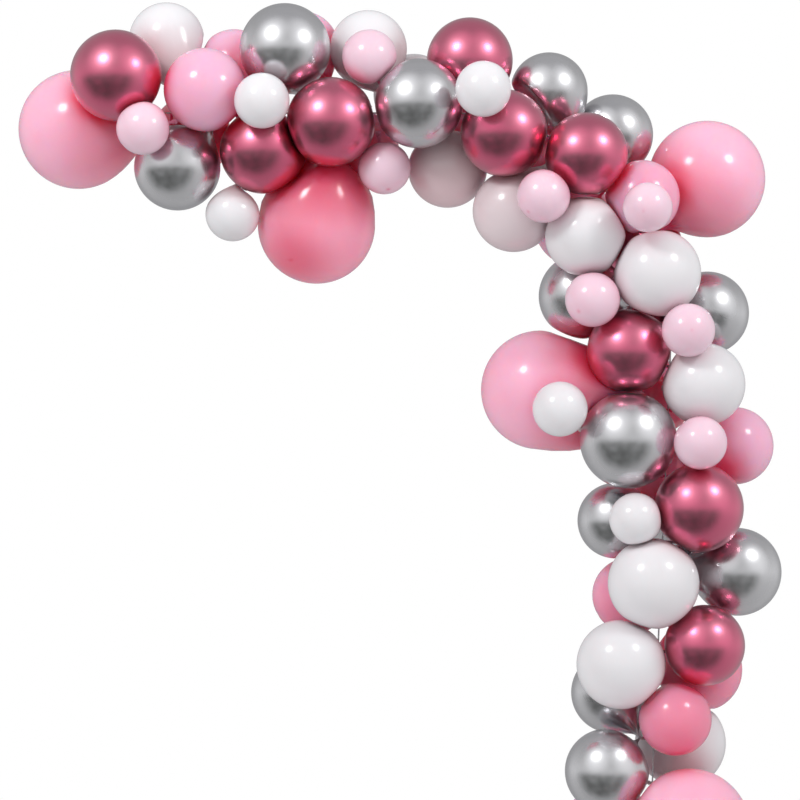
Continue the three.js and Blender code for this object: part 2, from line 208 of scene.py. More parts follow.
# balloons whose body runs out long towards the tail: where the tail starts, in degrees from the
# crown, where it has narrowed to its neck, in radii, and how full its curve starts and arrives
longBodies = {
    "pink_large_4": (90, 2.05, 0.70, 0.10),
    "pink_large_2": (92, 1.9, 0.62, 0.10),
    "white_small_2": (96, 1.45, 0.40, 0.05),
    "white_1": (105, 1.8, 0.58, 0.12),
    "others": (118, 1.5, 0.44, 0.22),
}
for name in ("pink_1", "white_3", "white_4"):
    longBodies[name] = (102, 1.68, 0.54, 0.14)
for name in ("pink_14", "pink_15", "pink_16"):
    longBodies[name] = (92, 2.0, 0.70, 0.08)
# how much of the thick skin's colour spreads wide over the crown and over the neck's side: partly the
# thicker latex there, partly painted shade
thickAndShadeSpread = {"pink_large_2": (0.6, 0.75), "pink_large_4": (0.2, 0.5), "pink_16": (0.4, 0.5),
             "others": (0.1, 0.3)}
# where the crown's thick spot lies on a body that bends: right, up, towards the viewer
bentCrowns = {"pink_large_2": (-0.43, -0.63, 0.65), "pink_16": (0.05, -0.82, 0.57)}
# how much of the thick skin's colour the small spot at the crown takes
crownShade = {"others": 0.06, "blush_small_3": 0.9, "blush_small_4": 0.6, "blush_small_5": 0.35,
              "blush_small_6": 0.6, "blush_small_7": 0.3, "pink_large_2": 0.9}
skin = {
    "columns": 72,
    "bodyRows": 34,
    "tailRows": 12,
    "crownRings": (1.2, 2.6),  # degrees off the crown of the first two rings
    "bodyStart": 4.5,  # degrees off the crown of the third
    "neck": 3.4 * mm,
    "rise": 22 * mm,  # from the hole up to the neck's bend, up to twice that for one in front
    "drop": 9 * mm,  # from the hole down to the knot
    "fillet": 7 * mm,  # the neck's bend starts and ends this far from its corner
    "straightRows": 3,
    "turnRows": 5,
    "turnStart": -0.7,  # in fillets, from the corner to the first of these rows
    "tip": ((2.6 * mm, -3 * mm), (1.4 * mm, 0)),  # radius and height of a neck that joins another
    "straightNeck": 0.05,  # a neck that turns by less than this sine counts as straight
    "across": (0.3, 0.9, 0.2),  # gives a direction across a straight neck
    "gluedNeck": 1.2,  # a glued balloon's tail ends at this height, in radii
    "gluedDrop": 8 * mm,
    "knotRadius": 4.5 * mm,
    "pleats": 11,
    "pleatDepth": 0.1,
    "pleatTurn": 900,  # radians to the metre of radius, so that pleats don't line up
    "slim": (0.1, 0.42),  # ring radius, in radii of the body, where the neck ends and the body starts
    "tailStart": (0.7, 0.95),  # height, in radii, where the pleats start and are full
    "shoulder": 15 * mm,  # how softly a balloon rounds off where a neighbour presses it
    "tailShoulder": 9 * mm,
    "held": (0.86, 1.08),  # height, in radii, where pressing starts to fade and is gone
    "heldLong": (1.3, 1.6),  # the same on a long body
    "flattest": 0.05,  # a flat face stops no ray whose cosine to it is less
    "roundKept": 0.95,  # no neighbour's round cuts in deeper than this share of the radius
    "gap": 0.3 * mm,
    "glueGap": 1 * mm,
    "tailRoom": 5 * mm,  # kept free all round a neck, a knot and the strip
    "roomStep": 12 * mm,
    "smoothing": 2,
}
# the room of a tail: it leaves the body's round at this many degrees off the crown; a long one
# narrows to the flare's radius at the flare's height, in radii
tailRoom = {"angle": 152, "long": 1.45, "flareHeight": 1.15, "flareRadius": 10 * mm}
# the thick skin's colour: how wide the crown's spot and its halo are, in radians, how strong the halo
# is, where off the crown the wide deepening, partly painted shade, fades out and where that of the neck's
# side fades in
spot = {"width": 0.085, "haloWidth": 0.24, "halo": 0.2, "crownThickAndShadeEnds": (0.1, 1.0), "neckSideThickAndShade": (1.35, 2.2)}
# painted bounce light and shade from neighbours: the share of colour by kind of balloon, how much of a
# point's view one fills where it starts to tell and where it tells in full, and the least painted shade
# on balloons deep in the shade
paintedBounceTint = {
    "share": {"rose": 0.95, "pink": 0.75, "silver": 0.4, "blush": 0.3, "white": 0.25},
    "start": 0.02,
    "full": 0.6,
    "leastPaintedShade": {"white_3": 1.0, "white_5": 0.6, "pink_16": 0.5, "pink_10": 0.2, "pink_14": 0.3,
              "pink_15": 0.45, "pink_17": 0.2, "pink_large_2": 0.25},
}


def nodeOf(name):  # two balloons that share a knot are one piece, under the pair's name
    for pair, members in pairs.items():
        if name in members:
            return pair
    return name


def giveHoles(balls):
    # each knot takes the next free hole beside its balloon, in order along the strip
    knots = {}
    for ball in balls:
        knots.setdefault(ball["node"], []).append(ball)
    middle = {node: sum(b["along"] for b in group) / len(group) for node, group in knots.items()}
    free = 0
    for order, node in enumerate(sorted(knots, key=middle.get)):
        beside = math.floor(middle[node] / strip["pitch"])
        last = strip["holes"] - (len(knots) - order)
        hole = min(max(free, beside), last)
        for ball in knots[node]:
            ball["hole"] = hole
        free = hole + 1


def placeTied():
    # centre = point on the strip + out + front; the neck rises over its hole on the balloon's side
    balls = []
    for name, row in tied.items():
        width, along, out, front = (value * mm for value in row)
        balls.append({"name": name, "node": nodeOf(name), "along": along, "radius": width / 2,
                      "out": out, "front": front})
    giveHoles(balls)
    for ball in balls:
        point, _, out = onStrip(ball["along"])
        ball["centre"] = point + out * ball["out"] + towardsViewer * ball["front"]
        holePoint, _, holeOut = onStrip(holeAlong(ball["hole"]))
        side = 1 if ball["out"] >= 0 else -1
        ball["rise"] = skin["rise"] * (1 + abs(ball["front"]) / math.hypot(ball["out"], ball["front"]))
        ball["down"] = -side * holeOut
        ball["tie"] = holePoint - holeOut * strip["thickness"] / 2
        ball["bend"] = ball["tie"] - ball["down"] * ball["rise"]
        ball["drop"] = skin["drop"]
    for ball in balls:
        first = next(other for other in balls if other["hole"] == ball["hole"])
        ball["joins"] = first is not ball
        if ball["joins"] and first["down"] @ ball["down"] > 0:
            ball["bend"] = first["bend"]
        elif ball["joins"]:
            first["drop"] = ball["rise"]
    for ball in balls:
        ball["axis"] = unit(ball["bend"] - ball["centre"])
    return balls


def placeGlued(hosts):
    # a glued balloon touches its host at a bearing and tilt, its tail turned to the strip
    byName = {ball["name"]: ball for ball in hosts}
    balls = []
    for name, (width, hostName, bearing, tilt) in glued.items():
        host = byName[hostName]
        bearing, tilt = math.radians(bearing), math.radians(tilt)
        across = np.array([math.sin(bearing), 0, math.cos(bearing)]) * math.cos(tilt)
        direction = across + towardsViewer * math.sin(tilt)
        radius = width * mm / 2
        centre = host["centre"] + direction * (host["radius"] + radius + skin["glueGap"])
        touch = host["centre"] + direction * (host["radius"] + skin["glueGap"] / 2)
        axis = unit(host["tie"] - centre)
        if name in crowns:
            axis = -shownAt(*crowns[name])
        balls.append({"name": name, "node": name, "centre": centre, "radius": radius, "axis": axis,
                      "touch": touch, "facing": direction})
    return balls


def stripRooms():
    # round rooms in a row along the strip: their centres and radii
    along = np.linspace(0, strip["length"], math.ceil(strip["length"] / skin["roomStep"]) + 1)
    radius = strip["width"] / 2 + skin["tailRoom"]
    return onStrip(along)[0], np.full(len(along), radius)


def tailRooms(ball):
    # round rooms in a row up the tail and neck, and one at the knot, which other balloons keep off
    height = np.linalg.norm(ball["bend"] - ball["centre"])
    start = math.radians(tailRoom["angle"])
    heights = [-ball["radius"] * math.cos(start)]
    widths = [ball["radius"] * math.sin(start)]
    if height > tailRoom["long"] * ball["radius"]:
        heights.append(tailRoom["flareHeight"] * ball["radius"])
        widths.append(tailRoom["flareRadius"])
    heights.append(height)
    widths.append(skin["neck"])
    spots = np.arange(heights[0] + skin["roomStep"], height + skin["roomStep"] / 2, skin["roomStep"])
    centres = ball["centre"] + spots[:, None] * ball["axis"]
    rooms = np.interp(spots, heights, widths) + skin["tailRoom"]
    if not ball["joins"]:
        knot = ball["tie"] + ball["down"] * ball["drop"]
        centres = np.vstack([centres, knot])
        rooms = np.append(rooms, skin["knotRadius"] + skin["tailRoom"])
    return centres, rooms


def sphereLimit(ball, direction, balls):
    # distance at which each ray from the centre meets a neighbour's round: b - sqrt(b^2 - c), with b
    # the neighbour's distance along the ray and c its squared distance less its squared radius
    limit = np.full(direction.shape[:2], farAway)
    for other in balls:
        if other is ball:
            continue
        towards = other["centre"] - ball["centre"]
        along = direction @ towards
        inside = along**2 - (towards @ towards - other["radius"]**2)
        hit = along - np.sqrt(np.maximum(inside, 0)) - skin["gap"]
        clear = (inside > 0) & (hit > skin["roundKept"] * ball["radius"])
        limit = np.minimum(limit, np.where(clear, hit, farAway))
    return limit


def pressed(ball, points, balls, keepOff):
    # each point is drawn towards the centre until it lies behind the flat faces between this balloon
    # and its neighbours, each (d^2 + r^2 - R^2) / 2d out; two limits a and b join softly as
    # min(a, b) - h^2 k / 4 with h = max(1 - |a - b| / k, 0)
    local = points - ball["centre"]
    reach = np.linalg.norm(local, axis=-1)
    direction = local / reach[..., None]
    limit = reach.copy()

    def faceLimit(normal, distance):
        towards = np.einsum("rci,i->rc", direction, normal)
        met = distance / np.maximum(towards, skin["flattest"])
        return np.where(towards > skin["flattest"], met, farAway)

    def joined(a, b, softness):
        overlap = np.maximum(1 - np.abs(a - b) / softness, 0)
        return np.minimum(a, b) - overlap * overlap * softness / 4

    for other in balls:
        if other is ball:
            continue
        towards = other["centre"] - ball["centre"]
        distance = np.linalg.norm(towards)
        if distance >= ball["radius"] + other["radius"] + skin["gap"]:
            continue
        even = (distance**2 + ball["radius"]**2 - other["radius"]**2) / (2 * distance)
        limit = joined(limit, faceLimit(towards / distance, even - skin["gap"] / 2), skin["shoulder"])
    if ball["name"] in longBodies:
        limit = joined(limit, sphereLimit(ball, direction, balls), skin["shoulder"])
    hard = np.full_like(limit, farAway)
    for owner, centres, rooms in keepOff:
        if owner is ball or (owner is not None and owner["hole"] == ball.get("hole", -1)):
            continue
        towards = centres - ball["centre"]
        distance = np.linalg.norm(towards, axis=-1)
        for normal, free in zip(towards / distance[:, None], distance - rooms):
            if free < ball["radius"]:
                hard = np.minimum(hard, faceLimit(normal, free))
    limit = joined(limit, hard, skin["tailShoulder"])
    for _ in range(skin["smoothing"]):  # even out each ring and the rings beside it
        around = (np.roll(limit, 1, 1) + np.roll(limit, -1, 1)) / 2
        along = limit.copy()
        along[1:-1] = (limit[:-2] + limit[2:]) / 2
        limit = np.minimum(limit, (2 * limit + around + along) / 4)
    height = local @ ball["axis"]
    fades, gone = skin["heldLong"] if ball["name"] in longBodies else skin["held"]
    held = 1 - easeIn(height, fades * ball["radius"], gone * ball["radius"])
    share = 1 + (np.minimum(limit / reach, 1) - 1) * held
    return ball["centre"] + local * share[..., None]


def curveThrough(p0, p1, p2, p3, count):
    # cubic Bezier curve (1-t)^3 p0 + 3 (1-t)^2 t p1 + 3 (1-t) t^2 p2 + t^3 p3, without its start
    t = np.linspace(0, 1, count + 1)[1:, None]
    return (1 - t)**3 * p0 + 3 * (1 - t)**2 * t * p1 + 3 * (1 - t) * t**2 * p2 + t**3 * p3


def profileOf(ball, neckHeight):
    # ring radius and height over the centre: circle R sin a, -R cos a, then a curve down to the neck
    radius = ball["radius"]
    start, narrow, full, slender = longBodies.get(ball["name"], longBodies["others"])
    end = math.radians(start)
    fine = np.radians(skin["crownRings"])
    rest = np.linspace(math.radians(skin["bodyStart"]), end, skin["bodyRows"])
    angles = np.concatenate([fine, rest])
    body = np.stack([radius * np.sin(angles), -radius * np.cos(angles)], -1)
    top = np.array([skin["neck"], min(neckHeight, narrow * radius)])
    reach = np.linalg.norm(top - body[-1])
    lead = body[-1] + np.array([math.cos(end), math.sin(end)]) * full * reach
    arrive = top - np.array([0, slender * reach])
    tail = curveThrough(body[-1], lead, arrive, top, skin["tailRows"])
    return np.vstack([body, tail])


def knotProfile():
    # radius and distance along the neck in mm: the knot's bulge, then the rolled lip's cup
    rows = [(3.2, -6), (3.0, -4.2), (4.3, -3), (5.2, -1), (5.0, 1.2), (3.4, 2.9), (3.0, 3.8),
            (4.2, 5.4), (5.6, 6.9), (6.6, 7.4), (7.0, 8.2), (6.5, 9), (5.4, 8.6), (3.6, 7.2), (1.6, 6.2)]
    return np.array(rows) * mm


def fullProfile(ball, bendHeight):
    # the body's profile, straight on to the neck's bend, and past it either a tip that ends in the
    # other balloon's neck or the neck's turn and the knot
    neck, fillet = skin["neck"], skin["fillet"]
    turnStart = bendHeight - fillet
    profile = profileOf(ball, turnStart)
    if profile[-1, 1] < turnStart - 2 * mm:
        straight = np.linspace(profile[-1, 1], turnStart, skin["straightRows"] + 1)[1:]
        profile = np.vstack([profile, np.stack([np.full(len(straight), neck), straight], -1)])
    if ball.get("joins"):
        return np.vstack([profile, np.array(skin["tip"]) + [0, bendHeight]])
    turn = np.linspace(skin["turnStart"], 1, skin["turnRows"]) * fillet
    turn = np.stack([np.full(len(turn), neck), bendHeight + turn], -1)
    knotAt = ball["rise"] + ball["drop"] if "tie" in ball else skin["gluedDrop"] + fillet
    knot = knotProfile() + np.array([0, bendHeight + knotAt])
    return np.vstack([profile, turn, knot])


def middleLine(ball, down, bendHeight, height):
    # point and direction at each height: up the axis a to the bend B, round it by
    # B - f (1 - t)^2 a + f t^2 d with f the fillet and t the share turned, then down d to the knot
    axis, fillet = ball["axis"], skin["fillet"]
    before = ball["centre"] + axis * height[:, None]
    if ball.get("joins"):
        return before, np.broadcast_to(axis, before.shape)
    bend = ball["centre"] + axis * bendHeight
    turned = np.clip((height - bendHeight + fillet) / (2 * fillet), 0, 1)[:, None]
    rounded = bend - axis * fillet * (1 - turned)**2 + down * fillet * turned**2
    after = bend + down * (height - bendHeight)[:, None]
    line = np.where(turned <= 0, before, np.where(turned >= 1, after, rounded))
    return line, unit((1 - turned) * axis + turned * down)


def balloonRings(ball, balls, keepOff):
    # the profile carried along the middle line: point = line + r (1 + depth cos(n u)) (side cos u +
    # other sin u), pleated on the neck only, then pressed flat beside the neighbours
    radius, axis = ball["radius"], ball["axis"]
    if "tie" in ball:
        bendHeight = np.linalg.norm(ball["bend"] - ball["centre"])
        down = ball["down"]
    else:
        narrow = longBodies.get(ball["name"], longBodies["others"])[1]
        bendHeight = min(skin["gluedNeck"], narrow) * radius + skin["fillet"]
        down = axis
    profile = fullProfile(ball, bendHeight)
    height = profile[:, 1]
    line, tangent = middleLine(ball, down, bendHeight, height)
    side = np.cross(axis, down)
    if np.linalg.norm(side) < skin["straightNeck"]:
        side = np.cross(axis, skin["across"])
    side = unit(side)
    other = np.cross(tangent, side)
    turns = np.linspace(0, 2 * math.pi, skin["columns"], endpoint=False)
    neckEnds, bodyStarts = skin["slim"]
    slim = 1 - easeIn(profile[:, 0], neckEnds * radius, bodyStarts * radius)
    pleatsStart, pleatsFull = skin["tailStart"]
    onTail = easeIn(height, pleatsStart * radius, pleatsFull * radius) * slim
    waves = np.cos(skin["pleats"] * turns + radius * skin["pleatTurn"])
    ring = profile[:, 0, None] * (1 + skin["pleatDepth"] * onTail[:, None] * waves)
    points = line[:, None] + ring[..., None] * (
        np.cos(turns)[None, :, None] * side + np.sin(turns)[None, :, None] * other[:, None])
    points = pressed(ball, points, balls, keepOff)
    crownReach = np.linalg.norm(points[0] - ball["centre"], axis=-1).mean()
    crown = ball["centre"] + unit(points[0].mean(0) - ball["centre"]) * crownReach
    tail = np.where(height > 0, slim * onTail, 0)[:, None]
    # thick latex at the crown and neck, and the wide deepening that is partly painted shade
    thickAndShade = np.maximum(thickness(ball, points), tail)
    return points, np.array([crown, line[-1]]), thickAndShade, paintedBounceAndShade(ball, points, balls)


def thickness(ball, points):
    # share of the thick skin's colour by the angle a off the crown: a spot e^(-(a / width)^2) with a
    # wider halo, and a wide ease out of the crown and into the neck's side, which is partly the thicker
    # latex there and partly painted shade
    crown = -ball["axis"]
    if ball["name"] in bentCrowns:
        crown = shownAt(*bentCrowns[ball["name"]])
    across = unit(points - ball["centre"])
    arc = np.arccos(np.clip(across @ crown, -1, 1))
    behind = np.arccos(np.clip(across @ -ball["axis"], -1, 1))
    halo = spot["halo"] * np.exp(-(arc / spot["haloWidth"])**2)
    small = np.maximum(np.exp(-(arc / spot["width"])**2), halo)
    crownThickAndShade, neckThickAndShade = thickAndShadeSpread.get(ball["name"], thickAndShadeSpread["others"])
    # partly the thicker latex, partly painted shade
    wideThickAndShade = crownThickAndShade * (1 - easeIn(arc, *spot["crownThickAndShadeEnds"])) + neckThickAndShade * easeIn(behind, *spot["neckSideThickAndShade"])
    return np.maximum(small * crownShade.get(ball["name"], crownShade["others"]), wideThickAndShade)


def paintedBounceAndShade(ball, points, balls):
    # painted bounce light and shade: how much of neighbours' colour is painted on a point, 1 - product of
    # (1 - share e), with e an ease of cos a (R / d)^2 and a the angle between the neighbour and the
    # skin's outward direction
    outwards = unit(points - ball["centre"])
    left = np.ones(points.shape[:2])
    for other in balls:
        if other is ball:
            continue
        share = paintedBounceTint["share"][other["name"].split("_")[0]]
        towards = other["centre"] - points
        distance = np.linalg.norm(towards, axis=-1)
        facing = np.einsum("rci,rci->rc", towards, outwards) / distance
        filled = np.minimum((other["radius"] / distance)**2, 1) * np.clip(facing, 0, 1)
        left *= 1 - share * easeIn(filled, paintedBounceTint["start"], paintedBounceTint["full"])
    # balloons deep in their neighbours' shade take at least this much painted shade
    return np.maximum(1 - left, paintedBounceTint["leastPaintedShade"].get(ball["name"], 0))


def closedPart(points, poles):
    # a grid's vertices and its two poles, with quads between neighbouring rings and a fan of
    # triangles at each pole
    rows, columns = points.shape[:2]
    ring = np.arange(rows * columns).reshape(rows, columns)
    ahead = np.roll(ring, -1, 1)
    quads = np.stack([ring[:-1], ahead[:-1], ahead[1:], ring[1:]], -1).reshape(-1, 4)
    low, high = np.full((2, columns), rows * columns) + [[0], [1]]
    lowFan = np.stack([low, ahead[0], ring[0]], -1)
    highFan = np.stack([high, ring[-1], ahead[-1]], -1)
    faces = quads.tolist() + lowFan.tolist() + highFan.tolist()
    return np.vstack([points.reshape(-1, 3), poles]), faces


def outward(points, faces):  # turns every face round if the enclosed volume comes out negative
    corners = np.array([face[:3] for face in faces])
    a, b, c = points[corners[:, 0]], points[corners[:, 1]], points[corners[:, 2]]
    volume = np.einsum("ij,ij->i", a - points.mean(0), np.cross(b - a, c - a)).sum()
    return faces if volume > 0 else [face[::-1] for face in faces]


def joinedParts(parts):
    # the vertices and faces of closed parts in one list each, every part turned outwards
    vertices, faces, first = [], [], 0
    for own, ownFaces in parts:
        faces += [[corner + first for corner in face] for face in outward(own, ownFaces)]
        vertices.append(own)
        first += len(own)
    return np.vstack(vertices), faces


def addObject(name, data):
    made = bpy.data.objects.new(name, data)
    bpy.context.scene.collection.objects.link(made)
    return made


def addPiece(name, vertices, faces, material, attributes=None):
    # a mesh that rides on the one body, with a number for each vertex under each attribute's name
    mesh = bpy.data.meshes.new(name)
    mesh.from_pydata(vertices.tolist(), [], faces)
    mesh.shade_smooth()
    for label, values in (attributes or {}).items():
        layer = mesh.attributes.new(label, "FLOAT", "POINT")
        layer.data.foreach_set("value", np.asarray(values, np.float32))
    mesh.materials.append(material)
    piece = addObject(name, mesh)
    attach(piece, bodyName)
    return piece


# finishes

def grey(level):
    return level, level, level, 1


def feed(tree, sockets, values):  # each socket takes another node's output or a fixed value
    for label, value in values.items():
        if isinstance(value, bpy.types.NodeSocket):
            tree.links.new(value, sockets[label])
        else:
            sockets[label].default_value = value


def addMath(tree, operation, *values):
    node = tree.nodes.new("ShaderNodeMath")
    node.operation = operation
    feed(tree, node.inputs, dict(enumerate(values)))
    return node.outputs[0]


def addVectorMath(tree, operation, values, output="Vector"):
    node = tree.nodes.new("ShaderNodeVectorMath")
    node.operation = operation
    feed(tree, node.inputs, values)
    return node.outputs[output]


def addMix(tree, share, low, high):  # the colour between two colours, by the share of the second
    node = tree.nodes.new("ShaderNodeMix")
    node.data_type = "RGBA"
    feed(tree, node.inputs, {0: share, 6: low, 7: high})
    return node.outputs[2]


def addNoise(tree, place, scale, detail):
    node = tree.nodes.new("ShaderNodeTexNoise")
    feed(tree, node.inputs, {"Vector": place, "Scale": scale, "Detail": detail})
    return node.outputs["Fac"]


def addRange(tree, value, given, wanted=(0, 1), kind="SMOOTHSTEP"):
    # the given range is carried over to the wanted one, eased or in a straight line
    node = tree.nodes.new("ShaderNodeMapRange")
    node.interpolation_type = kind
    feed(tree, node.inputs, {"Value": value, "From Min": given[0], "From Max": given[1],
                             "To Min": wanted[0], "To Max": wanted[1]})
    return node.outputs["Result"]


def addAttribute(tree, name):
    node = tree.nodes.new("ShaderNodeAttribute")
    node.attribute_name = name
    return node.outputs["Fac"]


def newMaterial(name):
    material = bpy.data.materials.new(name)
    material.use_nodes = True
    tree = material.node_tree
    return material, tree, tree.nodes["Principled BSDF"]


def newGroup(name, inputs, outputs):
    group = bpy.data.node_groups.new(name, "ShaderNodeTree")
    for label, kind, value in inputs:
        socket = group.interface.new_socket(name=label, in_out="INPUT", socket_type=kind)
        socket.default_value = value
    for label, kind in outputs:
        group.interface.new_socket(name=label, in_out="OUTPUT", socket_type=kind)
    return group, group.nodes.new("NodeGroupInput"), group.nodes.new("NodeGroupOutput")


# what all the skins share: the mottling and the fine grain, and the coat, whose roughness makes the
# wide glow round the lamps' reflections
allSkins = {
    "mottleScale": 14.0,
    "mottleDetail": 3,
    "grainScale": 420,
    "grainDetail": 2,
    "bump": 0.03,
    "bumpHeight": 0.2 * mm,
    "coatRoughness": 0.38,
    "coatRefraction": 2.2,
    "refraction": 1.5,
}


def balloonSkinGroup():
    # skin colour = stretched colour, mottled, turning to a painted bounce and shade colour beside
    # coloured neighbours and to the thick colour at the crown and neck, which also carries painted shade;
    # roughness = gloss + change * mottling
    tree, given, put = newGroup("balloonSkin", [
        ("Stretched", "NodeSocketColor", grey(0.8)),
        ("Thick And Shade", "NodeSocketColor", grey(0.5)),
        ("Painted Bounce Colour", "NodeSocketColor", grey(0.5)),
        ("Painted Bounce Strength", "NodeSocketFloat", 0.5),
        ("Mottle", "NodeSocketFloat", 0.06),
        ("Mottle Scale", "NodeSocketFloat", allSkins["mottleScale"]),
        ("Gloss", "NodeSocketFloat", 0.2),
        ("Gloss Change", "NodeSocketFloat", 0.05),
    ], [("Color", "NodeSocketColor"), ("Roughness", "NodeSocketFloat"), ("Height", "NodeSocketFloat")])
    given = given.outputs
    place = tree.nodes.new("ShaderNodeTexCoord").outputs["Object"]
    cloud = addNoise(tree, place, given["Mottle Scale"], allSkins["mottleDetail"])
    centred = addMath(tree, "SUBTRACT", cloud, 0.5)
    mottle = addMath(tree, "MULTIPLY_ADD", centred, given["Mottle"], 1)
    shade = addVectorMath(tree, "SCALE", {0: given["Stretched"], "Scale": mottle})
    # painted bounce light and shade from neighbours, kept in the near attribute
    paintedBounceShare = addMath(tree, "MULTIPLY", addAttribute(tree, "near"), given["Painted Bounce Strength"])
    paintedBounceColour = addMix(tree, paintedBounceShare, shade, given["Painted Bounce Colour"])
    feed(tree, put.inputs, {
        # thick latex at the crown and neck, with painted shade over the wide deepening
        "Color": addMix(tree, addAttribute(tree, "thickAndShade"), paintedBounceColour, given["Thick And Shade"]),
        "Roughness": addMath(tree, "MULTIPLY_ADD", centred, given["Gloss Change"], given["Gloss"]),
        "Height": addNoise(tree, place, allSkins["grainScale"], allSkins["grainDetail"]),
    })
    return tree


skins = {
    # stretched colour; thick colour, which also stands in for painted shade; painted bounce and shade
    # colour, and how much of it shows beside coloured neighbours; roughness and its change, metallic,
    # coat; and how far light spreads
    # inside the skin: weight, distance in mm and its share in red, green and blue
    "pinkLarge": {"slot": "pink_latex", "stretched": (0.92, 0.49, 0.645), "thickAndShade": (0.68, 0.05, 0.12),
                  "paintedBounceColour": (0.86, 0.05, 0.11), "paintedBounceStrength": 0.95,
                  "gloss": 0.2, "change": 0.05, "metallic": 0.0, "coat": 0.0, "mottle": 0.05,
                  "inside": 0.9, "spread": 150, "spreadColour": (1.0, 0.07, 0.11)},
    "pink": {"slot": "pink_latex", "stretched": (0.83, 0.485, 0.65), "thickAndShade": (0.66, 0.09, 0.19),
             "paintedBounceColour": (0.82, 0.05, 0.13), "paintedBounceStrength": 0.95,
             "gloss": 0.2, "change": 0.05, "metallic": 0.0, "coat": 0.0, "mottle": 0.05,
             "inside": 0.9, "spread": 150, "spreadColour": (1.0, 0.07, 0.11)},
    "blush": {"slot": "blush_latex", "stretched": (0.83, 0.61, 0.71), "thickAndShade": (0.76, 0.24, 0.36),
              "paintedBounceColour": (0.78, 0.26, 0.36), "paintedBounceStrength": 0.8,
              "gloss": 0.2, "change": 0.05, "metallic": 0.0, "coat": 0.0, "mottle": 0.04,
              "inside": 0.4, "spread": 30, "spreadColour": (1.0, 0.5, 0.6)},
    "white": {"slot": "white_latex", "stretched": (0.78, 0.77, 0.795), "thickAndShade": (0.66, 0.60, 0.60),
              "paintedBounceColour": (0.66, 0.36, 0.39), "paintedBounceStrength": 0.5,
              "gloss": 0.2, "change": 0.05, "metallic": 0.0, "coat": 0.0, "mottle": 0.03,
              "inside": 0.4, "spread": 30, "spreadColour": (1.0, 0.8, 0.8)},
    "rose": {"slot": "rose_chrome", "stretched": (0.68, 0.03, 0.155), "thickAndShade": (0.44, 0.02, 0.10),
             "paintedBounceColour": (0.61, 0.04, 0.13), "paintedBounceStrength": 0.25,
             "gloss": 0.23, "change": 0.06, "metallic": 0.98, "coat": 1.0, "mottle": 0.08,
             "inside": 0.0},
    "silver": {"slot": "silver_chrome", "stretched": (0.60, 0.60, 0.625), "thickAndShade": (0.38, 0.38, 0.40),
               "paintedBounceColour": (0.55, 0.42, 0.46), "paintedBounceStrength": 0.2,
               "gloss": 0.22, "change": 0.05, "metallic": 0.97, "coat": 1.0, "mottle": 0.08,
               "inside": 0.0},
}
skinGroup = balloonSkinGroup()


def balloonMaterial(tone):
    look = skins[tone]
    material, tree, surface = newMaterial(tone + "Skin")
    made = tree.nodes.new("ShaderNodeGroup")
    made.node_tree = skinGroup
    feed(tree, made.inputs, {
        "Stretched": (*look["stretched"], 1),
        "Thick And Shade": (*look["thickAndShade"], 1),
        "Painted Bounce Colour": (*look["paintedBounceColour"], 1),
        "Painted Bounce Strength": look["paintedBounceStrength"],
        "Mottle": look["mottle"],
        "Gloss": look["gloss"],
        "Gloss Change": look["change"],
    })
    bump = tree.nodes.new("ShaderNodeBump")
    feed(tree, bump.inputs, {"Height": made.outputs["Height"], "Strength": allSkins["bump"],
                             "Distance": allSkins["bumpHeight"]})
    feed(tree, surface.inputs, {
        "Base Color": made.outputs["Color"],
        "Roughness": made.outputs["Roughness"],
        "Normal": bump.outputs["Normal"],
        "Metallic": look["metallic"],
        "Coat Weight": look["coat"],
        "Coat Roughness": allSkins["coatRoughness"],
        "Coat IOR": allSkins["coatRefraction"],
        "IOR": allSkins["refraction"],
    })
    if look["inside"] > 0:
        feed(tree, surface.inputs, {"Subsurface Weight": look["inside"],
                                    "Subsurface Radius": look["spreadColour"],
                                    "Subsurface Scale": look["spread"] * mm})
    return material


# the clear plastic of the strip and the glue dots, hazy in patches
plastic = {
    "hazeScale": 60,
    "hazeDetail": 4,
    "roughness": (0.16, 0.34),
    "colours": ((0.82, 0.86, 0.88, 1), (0.90, 0.93, 0.94, 1)),
    "transmission": 0.55,
    "refraction": 1.45,
}


def clearMaterial():
    material, tree, surface = newMaterial("clear_plastic")
    place = tree.nodes.new("ShaderNodeTexCoord").outputs["Object"]
    haze = addNoise(tree, place, plastic["hazeScale"], plastic["hazeDetail"])
    feed(tree, surface.inputs, {
        "Roughness": addRange(tree, haze, (0, 1), plastic["roughness"], "LINEAR"),
        "Base Color": addMix(tree, haze, *plastic["colours"]),
        "Transmission Weight": plastic["transmission"],
        "IOR": plastic["refraction"],
    })
    return material


materials = {tone: balloonMaterial(tone) for tone in skins}
materials["clear"] = clearMaterial()
print("materials ready")

# balloons

tiedBalls = placeTied()
gluedBalls = placeGlued(tiedBalls)
balls = tiedBalls + gluedBalls
keepOff = [(None, *stripRooms())] + [(ball, *tailRooms(ball)) for ball in tiedBalls]
nodeBalls = {}
for ball in balls:
    nodeBalls.setdefault(ball["node"], []).append(ball)


def dressNode(node, members):
    parts, thickAndShade, near = [], [], []
    for ball in members:
        points, poles, thickAndShadeMask, lit = balloonRings(ball, balls, keepOff)
        parts.append(closedPart(points, poles))
        # for each vertex: the painted bounce and shade from neighbours, and the thick latex with its
        # painted shade
        thickAndShade += [thickAndShadeMask.ravel(), [thickAndShadeMask[0, 0], 1.0]]
        near += [lit.ravel(), [lit[0].mean(), 1.0]]
    vertices, faces = joinedParts(parts)
    tone = node.split("_")[0]
    if any("large" in ball["name"] for ball in members):
        tone += "Large"
    piece = addPiece(node + "_skin", vertices, faces, materials[tone],
                     {"thickAndShade": np.concatenate(thickAndShade), "near": np.concatenate(near)})
    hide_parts(node)


for node, members in nodeBalls.items():
    dressNode(node, members)
print("balloons dressed:", len(nodeBalls), "pieces,", len(balls), "balloons")

